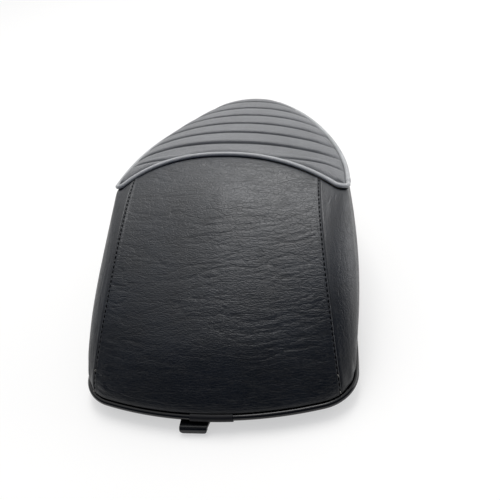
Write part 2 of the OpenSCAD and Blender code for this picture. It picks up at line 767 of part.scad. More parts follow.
// Rear catch
tab_z = bead_z - bead_r - sleeve_t - 1.2 - lever_t / 2;
floor_gap = 0.6;
plate_z = pivot_z - coil_r - wire_r - 0.35 - lever_t / 2;
claw_w = 14;
claw_y = pivot_y + 9;
claw_tip = 9;
ear_r = 5;
tab_taper = 2;
step_y = 9;
bend_r = 2.2;
module lever_outline() {
    w = lever_w / 2;
    tip = -tab_reach - lever_t;
    translate([0, 0, -1]) linear_extrude(2 * pan_z) polygon([
        [-w, 2 * claw_y], [-w, tip], [w - tab_taper, tip], [w, 0], [w, 2 * claw_y]
    ]);
}
module lever_ear(x) {
    translate([x, 0, 0]) across(lever_t) {
        translate([pivot_y, pivot_z]) circle(ear_r, $fn = fine);
        translate([pivot_y - ear_r, plate_z]) square([2 * ear_r, pivot_z - plate_z]);
    }
}
module lip_corner(x, turn) {
    r = 3;
    z = tab_z - lip_drop;
    translate([x, 0, z]) mirror([turn, 0, 0]) rotate([90, 0, 0]) translate([0, 0, 1])
        linear_extrude(tab_reach + lever_t) difference() {
            translate([-1, -1]) square([r + 1, r + 1]);
            translate([r, r]) circle(r, $fn = fine);
        }
}
module catch_lever() {
    tab = bend([[-tab_reach, tab_z - lip_drop], [-tab_reach, tab_z], [step_y, tab_z],
        [step_y + 5, plate_z], [pivot_y + ear_r, plate_z]], bend_r);
    claw = bend([[pivot_y, plate_z], [claw_y, plate_z], [claw_y, floor_gap + lever_t / 2],
        [claw_y - claw_tip, floor_gap + lever_t / 2]], bend_r);
    color(black) seated() translate([catch_x, 0, 0]) difference() {
        union() {
            intersection() {
                across(lever_w) polygon(ribbon(tab, lever_t));
                lever_outline();
            }
            across(claw_w) polygon(ribbon(claw, lever_t));
            for (x = [-1, 1]) lever_ear(x * (lever_w - lever_t) / 2);
        }
        translate([0, pivot_y, pivot_z]) rotate([0, 90, 0])
            cylinder(r = catch_pin_r + run_gap, h = 2 * lever_w, center = true, $fn = fine);
        lip_corner(-lever_w / 2, 0);
        lip_corner(lever_w / 2 - tab_taper, 1);
    }
}
ear_x = lever_w / 2 + soft_gap;
flange_len = 22;
flange_rear = 9;
flange_margin = 5;
module catch_bracket() {
    w = 2 * (rivet_dx + flange_margin);
    color(steel) seated() translate([catch_x, 0, 0]) difference() {
        union() {
            translate([-w / 2, pivot_y - flange_rear, pan_z - bracket_t])
                cube([w, flange_len, bracket_t]);
            for (x = [-1, 1]) translate([x * (ear_x + bracket_t / 2), 0, 0]) across(bracket_t) {
                translate([pivot_y, pivot_z]) circle(ear_r, $fn = fine);
                translate([pivot_y - ear_r, pivot_z]) square([2 * ear_r, pan_z - pivot_z]);
            }
        }
        translate([0, pivot_y, pivot_z]) rotate([0, 90, 0])
            cylinder(r = catch_pin_r + fit_gap / 2, h = 3 * lever_w, center = true, $fn = fine);
        for (p = rivet_places())
            translate([p[0] - catch_x, p[1], pan_z - 2 * bracket_t])
                cylinder(r = rivet_r + fit_gap, h = 3 * bracket_t, $fn = fine);
    }
}
pin_head_h = 1.2;
module catch_pin() {
    len = 2 * (ear_x + bracket_t + fit_gap);
    color(steel) seated() translate([catch_x, pivot_y, pivot_z]) rotate([0, 90, 0]) {
        cylinder(r = catch_pin_r, h = len + pin_head_h, center = true, $fn = fine);
        for (side = [0, 1]) mirror([0, 0, side]) translate([0, 0, len / 2])
            cylinder(r1 = catch_pin_r + 1.3, r2 = catch_pin_r + 0.5, h = pin_head_h, $fn = fine);
    }
}
coil_sides = 6;
turn_steps = 10;
module catch_spring() {
    pitch = 2 * wire_r + 0.25;
    x0 = -coil_turns * pitch / 2;
    leg_y = pivot_y - 11;
    coil = [
        for (k = [0:(coil_turns + 0.5) * turn_steps])
            let (w = 90 - 360 * k / turn_steps)
            [x0 + pitch * k / turn_steps, pivot_y + coil_r * cos(w), pivot_z + coil_r * sin(w)]
    ];
    path = concat(
        [[x0, leg_y, pan_z - bracket_t - wire_r - soft_gap]], coil,
        [[x0 + pitch * (coil_turns + 0.5), leg_y + 3, pivot_z - coil_r]]
    );
    color(steel) seated() translate([catch_x, 0, 0])
        swept_tube(path, wire_r, coil_sides, false);
}
module catch_rivets() {
    color(steel) seated() for (p = rivet_places()) translate([p[0], p[1], 0]) {
        translate([0, 0, pan_z - bracket_t]) cylinder(r = rivet_r, h = bracket_t + pan_t, $fn = fine);
        translate([0, 0, pan_top]) cylinder(r1 = 2 * rivet_r, r2 = rivet_r, h = 1.2, $fn = fine);
        translate([0, 0, pan_z - bracket_t - 1.2])
            cylinder(r1 = rivet_r, r2 = 2 * rivet_r, h = 1.2, $fn = fine);
    }
}

// Front hinge
hinge_z = knuckle_r;
knuckle_w = 20;
leaf_rear_y = hinge_y - leaf_len;
knuckle_gap = 0.3;
module knuckle(x, w, r) {
    translate([x, hinge_y, hinge_z]) rotate([0, 90, 0]) cylinder(r = r, h = w, $fn = fine);
}
module hinge_seat_leaf() {
    web_y = hinge_y + knuckle_r - leaf_t;
    color(steel) seated() difference() {
        union() {
            translate([-hinge_w / 2, leaf_rear_y, pan_z - leaf_t])
                cube([hinge_w, web_y + leaf_t - leaf_rear_y, leaf_t]);
            for (x = [-hinge_w / 2, knuckle_w / 2 + knuckle_gap]) {
                translate([x, web_y, hinge_z])
                    cube([hinge_w / 2 - knuckle_w / 2 - knuckle_gap, leaf_t, pan_z - hinge_z]);
                knuckle(x, hinge_w / 2 - knuckle_w / 2 - knuckle_gap, knuckle_r);
            }
        }
        knuckle(-hinge_w, 2 * hinge_w, hinge_pin_r + fit_gap / 2);
        for (p = bolt_places()) translate([p[0], p[1], pan_z - 2 * leaf_t])
            cylinder(r = bolt_r + fit_gap, h = 3 * leaf_t, $fn = fine);
    }
}
frame_hole_r = 3.3;
frame_holes_y = leaf_rear_y + 12;
module hinge_frame_leaf() {
    color(steel) seated() difference() {
        union() {
            translate([-hinge_w / 2, leaf_rear_y, 0])
                cube([hinge_w, leaf_len - knuckle_r - 1, leaf_t]);
            translate([-knuckle_w / 2, leaf_rear_y, 0]) cube([knuckle_w, leaf_len, leaf_t]);
            knuckle(-knuckle_w / 2, knuckle_w, knuckle_r);
        }
        knuckle(-hinge_w, 2 * hinge_w, hinge_pin_r + run_gap);
        for (x = [-1, 1]) translate([x * bolt_spacing / 2, frame_holes_y, -1])
            cylinder(r = frame_hole_r, h = leaf_t + 2, $fn = fine);
    }
}
module hinge_pin() {
    head_h = 1.5;
    color(steel) seated() {
        knuckle(-hinge_w / 2 - fit_gap - head_h, hinge_w + 2 * fit_gap + 2 * head_h, hinge_pin_r);
        for (side = [0, 1]) mirror([side, 0, 0])
            translate([hinge_w / 2 + fit_gap, hinge_y, hinge_z]) rotate([0, 90, 0])
                cylinder(r1 = hinge_pin_r + 1.5, r2 = hinge_pin_r + 0.8, h = head_h, $fn = fine);
    }
}
nut_h = 5;
module hinge_bolts() {
    color(steel) seated() for (p = bolt_places()) translate([p[0], p[1], 0]) {
        translate([0, 0, pan_top]) cylinder(r1 = 2.2 * bolt_r, r2 = 1.6 * bolt_r, h = 2, $fn = fine);
        translate([0, 0, pan_z - leaf_t - nut_h - 1.5])
            cylinder(r = bolt_r, h = pan_top - pan_z + leaf_t + nut_h + 1.5, $fn = fine);
    }
}
module hinge_nuts() {
    color(steel) seated() for (p = bolt_places())
        translate([p[0], p[1], pan_z - leaf_t - nut_h]) difference() {
            cylinder(r = 1.92 * bolt_r, h = nut_h, $fn = 6);
            translate([0, 0, -1]) cylinder(r = bolt_r + 0.02, h = nut_h + 2, $fn = fine);
        }
}

// Rubber buffers that the seat rests on, screwed on through the pan
screw_depth = 12;
module buffer(p) {
    color(rubber_black) seated() translate([p[0], p[1], 0]) difference() {
        union() {
            cylinder(r1 = buffer_foot_r, r2 = buffer_r, h = pan_z - 3, $fn = fine);
            translate([0, 0, pan_z - 3]) cylinder(r = buffer_r, h = 3, $fn = fine);
        }
        translate([0, 0, pan_z - screw_depth - 0.5])
            cylinder(r = screw_r + fit_gap / 2, h = screw_depth + 1, $fn = fine);
    }
}
module buffer_rear_left() buffer(buffer_places()[0]);
module buffer_rear_right() buffer(buffer_places()[1]);
module buffer_front_left() buffer(buffer_places()[2]);
module buffer_front_right() buffer(buffer_places()[3]);
module buffer_screws() {
    color(steel) seated() for (p = buffer_places()) translate([p[0], p[1], 0]) {
        translate([0, 0, pan_top]) cylinder(r1 = 2.4 * screw_r, r2 = 1.8 * screw_r, h = 1.8, $fn = fine);
        translate([0, 0, pan_z - screw_depth])
            cylinder(r = screw_r, h = screw_depth + pan_top - pan_z, $fn = fine);
    }
}

base_pan();
foam_pad();
cover_rear_panel();
cover_side_left();
cover_side_right();
cover_top_ribbed();
piping_welt();
edge_trim();
trim_joint_sleeve();
catch_bracket();
catch_lever();
catch_pin();
catch_spring();
catch_rivets();
hinge_seat_leaf();
hinge_frame_leaf();
hinge_pin();
hinge_bolts();
hinge_nuts();
buffer_rear_left();
buffer_rear_right();
buffer_front_left();
buffer_front_right();
buffer_screws();
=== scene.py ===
import math

import bpy
import numpy as np
from mathutils import Matrix, Vector


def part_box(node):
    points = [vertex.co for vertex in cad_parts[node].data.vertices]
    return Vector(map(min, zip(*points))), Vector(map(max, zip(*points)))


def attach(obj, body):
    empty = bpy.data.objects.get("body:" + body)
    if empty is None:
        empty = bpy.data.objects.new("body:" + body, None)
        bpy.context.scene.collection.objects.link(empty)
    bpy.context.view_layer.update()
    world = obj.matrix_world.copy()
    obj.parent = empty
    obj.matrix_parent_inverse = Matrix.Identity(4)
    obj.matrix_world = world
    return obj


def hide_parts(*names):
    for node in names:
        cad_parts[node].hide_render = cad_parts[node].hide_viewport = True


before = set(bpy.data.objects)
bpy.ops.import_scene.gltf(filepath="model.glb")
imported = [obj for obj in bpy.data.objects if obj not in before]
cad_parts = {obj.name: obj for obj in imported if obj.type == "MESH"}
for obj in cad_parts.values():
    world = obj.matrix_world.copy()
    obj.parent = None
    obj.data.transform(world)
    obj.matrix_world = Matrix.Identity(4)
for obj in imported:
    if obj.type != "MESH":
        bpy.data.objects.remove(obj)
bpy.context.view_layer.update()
rng = np.random.default_rng(7)

# Shape values as in part.scad, in millimetres and degrees. Points are worked out in millimetres
# with y = 0 on the bead's centre line at the rear, and to_frame turns them into the frame's metres.
BEAD_R = 2.75
SEAT_W, REAR_R, CORNER_R, SIDE_R, NOSE_R = 238, 328, 36, 885, 59.5
CREST_Y, TOP_HALF_W, CREST_R, TOP_CORNER_R = 215, 112, 163, 6
TOP_SIDE_R, TOP_NOSE_R, CREST_Z = 340, 42, 138
CREST_FALL, SIDE_FALL, NOSE_FALL, CREST_POWER = 16.5, 22, 12.5, 2.4
CROWN, RIB_PITCH, FIRST_SEAM, RIB_H = 2.5, 25.5, 18, 4
SEAM_FOOT_X, SEAM_HEAD_X = 108, 90.5
BACK_RISE, BACK_RUN, BACK_SLOPE = 10, 84, 7
SIDE_RISE, SIDE_BULGE, SIDE_DROP, SIDE_LEAN, TURN_LEN = 50, 10, 19, 2, 44
WALL_FOOT_Z, BEAD_Z, PIPING_R = 17.95, 14, 2.1
SPINE_SLOPE, SPINE_BEND, NOSE_ROUND, CROWN_POWER, CROWN_EASE = 4.6, 0.00034, 60, 2.1, 20
HALF_W = SEAT_W / 2
MID_Y = -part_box("edge_trim")[0][1] * 1000 - BEAD_R
UP = np.array([0, 0, 1.0])

# Values of the scene alone
# Skew of the cover: sideways, its spread to both sides, forward and down, at SKEW_HALF_W
SKEW_X, SKEW_SPREAD, SKEW_Y, SKEW_Z, SKEW_HALF_W = -4.0, 9.5, 6.6, 2.6, 113
# It starts at a height, is full after a rise, and fades out over a length behind the crest
SKEW_FROM_Z, SKEW_RISE, SKEW_FADE = 18, 100, 190
SKIN, RIB_SKIN = 1.2, 2.4  # thickness of the cloth, and of the cloth with its padding
REAR_GRID, SIDE_GRID, TOP_GRID, INNER_STEP = (310, 280), (330, 210), (190, 430), 4
REAR_SWELL, RIB_SWELL = 5.5, 1.08
MAIN_CREASE, FINE_CREASE, CREASE_SWELL = 0.23, 0.1, 0.16
STITCH_PITCH, STITCH_IN, STITCH_SIZE = 4.5, 1.8, (3.3, 1.15, 0.9)
THREAD_R, PALE_ENDS = 0.22, {-1: (1.6, 20.0), 1: (2.6, 16.5)}
JOINT_AT, JOINT_LEN, JOINT_SWELL = 129.0, 7.0, 0.45
FOAM_FROM_Z, FOAM_RISE, FOAM_NARROWER, FOAM_SHORTER, FOAM_LOWER = 20, 20, 0.009, 0.006, 0.8
FLOOR_COLOR, FLOOR_LIFT, FLOOR_SIZE = (0.5, 0.495, 0.485), 0.54, 12
CAM, YAW, PITCH, ROLL = (131.25, -289.79, 415.15), -13.84, -37.38, -10.61
FOCAL, PHOTO_W, SENSOR_W = 600.0, 500, 36
# The skin's lower edge, tucked in behind the bead: distances in from it, and heights
HEM = ((3.4, 14.9), (2.6, 15.5), (1.7, 16.35), (0.8, 17.2))

rad = np.radians


def clamp01(t):
    return np.clip(t, 0, 1)


def ease(t):
    t = clamp01(t)
    return t * t * (3 - 2 * t)


def bell(x, width):
    """1 where x is 0, falling off on both sides over a width."""
    return np.exp(-(x / width) ** 2)


def unit(v):
    return v / np.maximum(np.linalg.norm(v, axis=-1, keepdims=True), 1e-12)


# Arcs are [centre x, centre y, radius, first angle, last angle, side that faces out]
wide_y = REAR_R - math.sqrt((REAR_R - CORNER_R) ** 2 - (HALF_W - CORNER_R) ** 2)
rear_turn = math.degrees(math.asin((HALF_W - CORNER_R) / (REAR_R - CORNER_R)))
nose_y = wide_y + math.sqrt((SIDE_R - NOSE_R) ** 2 - (SIDE_R - HALF_W) ** 2)
side_turn = math.degrees(math.asin((nose_y - wide_y) / (SIDE_R - NOSE_R)))
BASE = np.array([
    [0, REAR_R, REAR_R, 0, rear_turn, 1],
    [HALF_W - CORNER_R, wide_y, CORNER_R, rear_turn, 90, 1],
    [HALF_W - SIDE_R, wide_y, SIDE_R, 90, 90 + side_turn, 1],
    [0, nose_y, NOSE_R, 90 + side_turn, 180, 1],
])
crest_turn = math.degrees(math.asin((TOP_HALF_W - TOP_CORNER_R) / (CREST_R + TOP_CORNER_R)))
bow_y = CREST_Y - CREST_R
corner_y = bow_y + (CREST_R + TOP_CORNER_R) * math.cos(math.radians(crest_turn))
tip_y = corner_y + math.sqrt((TOP_SIDE_R - TOP_NOSE_R) ** 2 - (TOP_SIDE_R - TOP_HALF_W) ** 2)
top_turn = math.degrees(math.asin((tip_y - corner_y) / (TOP_SIDE_R - TOP_NOSE_R)))
TOP = np.array([
    [0, bow_y, CREST_R, 180, 180 - crest_turn, -1],
    [TOP_HALF_W - TOP_CORNER_R, corner_y, TOP_CORNER_R, -crest_turn, 90, 1],
    [TOP_HALF_W - TOP_SIDE_R, corner_y, TOP_SIDE_R, 90, 90 + top_turn, 1],
    [0, tip_y, TOP_NOSE_R, 90 + top_turn, 180, 1],
])


def ends(arcs):
    """Lengths along an outline at which its arcs start and end."""
    lengths = np.pi / 180 * arcs[:, 2] * np.abs(arcs[:, 4] - arcs[:, 3])
    return np.concatenate([[0], np.cumsum(lengths)])


BASE_ENDS, TOP_ENDS = ends(BASE), ends(TOP)
base_len, top_len = BASE_ENDS[4], TOP_ENDS[4]
corner_len, nose_len = TOP_ENDS[2], TOP_ENDS[3]
top_tip = tip_y + TOP_NOSE_R


def along(arcs, s, inset=0):
    """Point and outward direction at lengths s along the right half of an outline."""
    e = ends(arcs)
    s = np.asarray(s, float)
    k = np.clip(np.searchsorted(e, s, side="right") - 1, 0, 3)
    a = arcs[k]
    w = rad(a[..., 3] + (a[..., 4] - a[..., 3]) * (s - e[k]) / (e[k + 1] - e[k]))
    n = np.stack([np.sin(w), -np.cos(w)], -1)
    r = (a[..., 2] - a[..., 5] * inset)[..., None]
    return a[..., :2] + r * n, a[..., 5, None] * n


def pipe_z(s):
    """Height of the piping at lengths along the top outline."""
    return (CREST_Z - CREST_FALL * clamp01(s / corner_len) ** CREST_POWER
            - SIDE_FALL * clamp01((s - corner_len) / (nose_len - corner_len))
            - NOSE_FALL * clamp01((s - nose_len) / (top_len - nose_len)))


seam_foot = BASE_ENDS[1] + np.pi / 180 * CORNER_R * (
    math.degrees(math.asin((SEAM_FOOT_X - HALF_W + CORNER_R) / CORNER_R)) - rear_turn)
seam_head = CREST_R * math.asin(SEAM_HEAD_X / CREST_R)


def wall(foot, head, v):
    """Skin of the walls on the right side, at a foot and head length and a height share."""
    f, fo = along(BASE, foot)
    h, ho = along(TOP, head)
    w = ease((head - seam_head) / TURN_LEN)[..., None]
    zero = np.zeros(f.shape[:-1] + (1,))
    a = np.concatenate([f, zero + WALL_FOOT_Z], -1)
    d = np.concatenate([h, pipe_z(head)[..., None]], -1)
    back_b = BACK_RISE * UP
    side_b = np.concatenate([fo * SIDE_BULGE, zero], -1) + SIDE_RISE * UP
    back_c = -BACK_RUN * np.array([0, math.cos(rad(BACK_SLOPE)), math.sin(rad(BACK_SLOPE))])
    side_c = np.concatenate([ho * SIDE_LEAN, zero], -1) - SIDE_DROP * UP
    b = a + back_b * (1 - w) + side_b * w
    c = d + back_c * (1 - w) + side_c * w
    v = np.asarray(v)[..., None]
    return (1 - v) ** 3 * a + 3 * (1 - v) ** 2 * v * b + 3 * (1 - v) * v * v * c + v ** 3 * d


def top_outer(y):
    """Half width of the top at y, and the length along its outline there."""
    side_end = TOP[2, 1] - TOP[2, 2] * math.cos(rad(TOP[2, 4]))
    k = np.where(y < corner_y, 1, np.where(y < side_end, 2, 3))
    a = TOP[k]
    w = np.arccos(np.clip((a[..., 1] - y) / a[..., 2], -1, 1))
    return a[..., 0] + a[..., 2] * np.sin(w), TOP_ENDS[k] + a[..., 2] * (w - rad(a[..., 3]))


def top_inner(y):
    """Where the bowed crest starts at y, sideways and along the outline."""
    tangent_y = corner_y - TOP_CORNER_R * math.cos(rad(crest_turn))
    low = y < tangent_y
    w1 = np.arccos(np.clip((corner_y - y) / TOP_CORNER_R, -1, 1))
    w2 = np.arccos(np.clip((y - bow_y) / CREST_R, -1, 1))
    x = np.where(low, TOP[1, 0] - TOP_CORNER_R * np.sin(w1), CREST_R * np.sin(w2))
    s = np.where(low, TOP_ENDS[1] + TOP_CORNER_R * (rad(crest_turn) - w1), CREST_R * w2)
    far = y > CREST_Y
    return np.where(far, 0, x), np.where(far, 0, s)


def long_z(y):
    """Height of the top's middle line, before it is rounded off at the nose."""
    d = np.maximum(0, y - CREST_Y)
    rise = CREST_Z + CROWN * ease(d / CROWN_EASE)
    return rise - math.tan(rad(SPINE_SLOPE)) * d - SPINE_BEND * d * d


def spine_z(y):
    return long_z(y) - (long_z(np.array(top_tip)) - pipe_z(top_len)) * clamp01(
        (y - top_tip + NOSE_ROUND) / NOSE_ROUND) ** 2


def top_z(x, y):
    ex, es = top_outer(y)
    ix, s = top_inner(y)
    ez, iz = pipe_z(es), np.where(y < CREST_Y, pipe_z(s), spine_z(y))
    t = clamp01((ex - np.abs(x)) / np.maximum(ex - ix, 1e-6))
    return ez + (iz - ez) * (1 - (1 - t) ** CROWN_POWER)


def tailored(p):
    """The sewn cover sits a little askew on its foam, most of all at the crest."""
    p = np.array(p, float)
    w = ease((p[..., 2] - SKEW_FROM_Z) / SKEW_RISE) * (1 - ease((p[..., 1] - CREST_Y) / SKEW_FADE))
    k = p[..., 0] / SKEW_HALF_W
    p[..., 0] += (SKEW_X + SKEW_SPREAD * k * k) * w
    p[..., 1] -= SKEW_Y * k * w
    p[..., 2] -= SKEW_Z * k * w
    return p


# Noise for the creases
def hash2(ix, iy, seed):
    h = np.sin(ix * 127.1 + iy * 311.7 + seed * 74.7) * 43758.5453
    return h - np.floor(h)


def value_noise(x, y, seed):
    ix, iy = np.floor(x), np.floor(y)
    fx, fy = x - ix, y - iy
    fx, fy = fx * fx * (3 - 2 * fx), fy * fy * (3 - 2 * fy)
    a, b = hash2(ix, iy, seed), hash2(ix + 1, iy, seed)
    c, d = hash2(ix, iy + 1, seed), hash2(ix + 1, iy + 1, seed)
    return (a * (1 - fx) + b * fx) * (1 - fy) + (c * (1 - fx) + d * fx) * fy


def fbm(x, y, seed, octaves=3):
    total, amp, norm = 0, 1, 0
    for k in range(octaves):
        total = total + amp * value_noise(x * 2 ** k, y * 2 ** k, seed + 11 * k)
        norm += amp
        amp *= 0.5
    return total / norm


def winding_lines(x, y, seed, width):
    """1 along the winding lines on which a noise passes its middle value."""
    return bell(fbm(x, y, seed, 2) - 0.5, width)


def crease_field(x, y, seed, long=34.0, tall=6.0):
    """Depth of long cross-wise creases in millimetres, for a skin unrolled to x and y."""
    wy = y + 10 * (fbm(x / 60, y / 60, seed + 1) - 0.5)
    patchy = 0.25 + 0.75 * ease((fbm(x / 55, y / 30, seed + 4) - 0.38) / 0.25)
    main = winding_lines(x / long, wy / tall, seed, 0.05) * patchy
    fine = winding_lines(x / (0.5 * long), wy / (0.55 * tall), seed + 3, 0.07)
    swell = fbm(x / 40, wy / 8, seed + 6) - 0.5
    return -MAIN_CREASE * main - FINE_CREASE * fine * patchy + CREASE_SWELL * swell


# Meshes
def to_frame(p):
    """Millimetres from the rear bead to the frame's metres."""
    q = np.array(p, float)
    q[..., 1] -= MID_Y
    return q / 1000


def signed_volume(mesh):
    """Volume of a closed mesh, below 0 where its faces look inwards."""
    mesh.calc_loop_triangles()
    corners = np.empty(3 * len(mesh.loop_triangles), np.int32)
    mesh.loop_triangles.foreach_get("vertices", corners)
    flat = np.empty(3 * len(mesh.vertices))
    mesh.vertices.foreach_get("co", flat)
    a, b, c = flat.reshape(-1, 3)[corners.reshape(-1, 3)].transpose(1, 0, 2)
    return float((a * np.cross(b, c)).sum()) / 6


def add_object(name, mesh):
    obj = bpy.data.objects.new(name, mesh)
    bpy.context.scene.collection.objects.link(obj)
    return obj


def add_mesh(name, points, faces):
    mesh = bpy.data.meshes.new(name)
    mesh.from_pydata(to_frame(points).tolist(), [], [tuple(int(i) for i in f) for f in faces])
    mesh.validate()
    if signed_volume(mesh) < 0:
        mesh.flip_normals()
    mesh.shade_smooth()
    return add_object(name, mesh)


def grid_quads(rows, cols, flip=False, wrap=False):
    i, j = np.meshgrid(np.arange(rows - 1), np.arange(cols if wrap else cols - 1), indexing="ij")
    a = (i * cols + j).ravel()
    b = (i * cols + (j + 1) % cols).ravel()
    c, d = b + cols, a + cols
    quads = np.stack([a, b, c, d], -1)
    return quads[:, ::-1] if flip else quads


def grid_normals(p):
    du = np.gradient(p, axis=0)
    dv = np.gradient(p, axis=1)
    return unit(np.cross(du, dv))


def sheet_piece(name, skin, normals, thickness, flip):
    """A closed skin: a grid of outer points and a coarser one, moved in by its thickness."""
    rows, cols = skin.shape[:2]
    keep_r = np.unique(np.append(np.arange(0, rows, INNER_STEP), rows - 1))
    keep_c = np.unique(np.append(np.arange(0, cols, INNER_STEP), cols - 1))
    inner = (skin - normals * thickness)[np.ix_(keep_r, keep_c)]
    n, m = len(keep_r), len(keep_c)
    base = rows * cols

    def outer_id(i, j):
        return int(i * cols + j)

    def inner_id(i, j):
        return int(base + i * m + j)

    faces = [tuple(q) for q in grid_quads(rows, cols, flip)]
    faces += [tuple(q) for q in grid_quads(n, m, not flip) + base]
    rims = []
    for i in range(n - 1):
        a, b = keep_r[i], keep_r[i + 1]
        rims.append([outer_id(k, 0) for k in range(a, b + 1)]
                    + [inner_id(i + 1, 0), inner_id(i, 0)])
        rims.append([outer_id(k, cols - 1) for k in range(b, a - 1, -1)]
                    + [inner_id(i, m - 1), inner_id(i + 1, m - 1)])
    for j in range(m - 1):
        a, b = keep_c[j], keep_c[j + 1]
        rims.append([outer_id(0, k) for k in range(b, a - 1, -1)]
                    + [inner_id(0, j), inner_id(0, j + 1)])
        rims.append([outer_id(rows - 1, k) for k in range(a, b + 1)]
                    + [inner_id(n - 1, j + 1), inner_id(n - 1, j)])
    faces += [tuple(r if not flip else r[::-1]) for r in rims]
    return add_mesh(name, np.concatenate([skin.reshape(-1, 3), inner.reshape(-1, 3)]), faces)


def rings(path, radius, sides, closed=False):
    """Rings of points around a path."""
    if closed:
        t = unit(np.roll(path, -1, 0) - np.roll(path, 1, 0))
    else:
        t = unit(np.gradient(path, axis=0))
    a = unit(np.cross(t, UP))
    b = np.cross(a, t)
    w = np.arange(sides) * 2 * np.pi / sides
    r = np.broadcast_to(np.asarray(radius, float), (len(path),))
    return path[:, None] + r[:, None, None] * (
        np.cos(w)[None, :, None] * a[:, None] + np.sin(w)[None, :, None] * b[:, None])


def ring_faces(rows, cols, closed=False, start=0):
    """Faces between rings of points, with flat ends where the tube isn't closed."""
    faces = grid_quads(rows, cols, wrap=True).tolist()
    last = (rows - 1) * cols
    if closed:
        faces += [(last + j, last + (j + 1) % cols, (j + 1) % cols, j) for j in range(cols)]
    else:
        faces += [range(cols)[::-1], range(last, last + cols)]
    return [tuple(start + i for i in face) for face in faces]


def tube(name, path, radius, closed=False):
    sides = 20
    points = rings(path, radius, sides, closed)
    return add_mesh(name, points.reshape(-1, 3), ring_faces(len(path), sides, closed))


# Materials
def new_material(name, color, roughness, **sockets):
    m = bpy.data.materials.new(name)
    m.use_nodes = True
    s = m.node_tree.nodes["Principled BSDF"]
    s.inputs["Base Color"].default_value = (*color, 1)
    s.inputs["Roughness"].default_value = roughness
    for key, value in sockets.items():
        s.inputs[key.replace("_", " ")].default_value = value
    return m, m.node_tree, s


def link(tree, a, b):
    tree.links.new(a, b)


def add(tree, kind, **values):
    """A new node, with its properties and the values of its sockets."""
    node = tree.nodes.new(kind)
    for key, value in values.items():
        if key in ("operation", "blend_type", "feature", "data_type", "interpolation_type"):
            setattr(node, key, value)
        else:
            node.inputs[key.replace("_", " ")].default_value = value
    return node


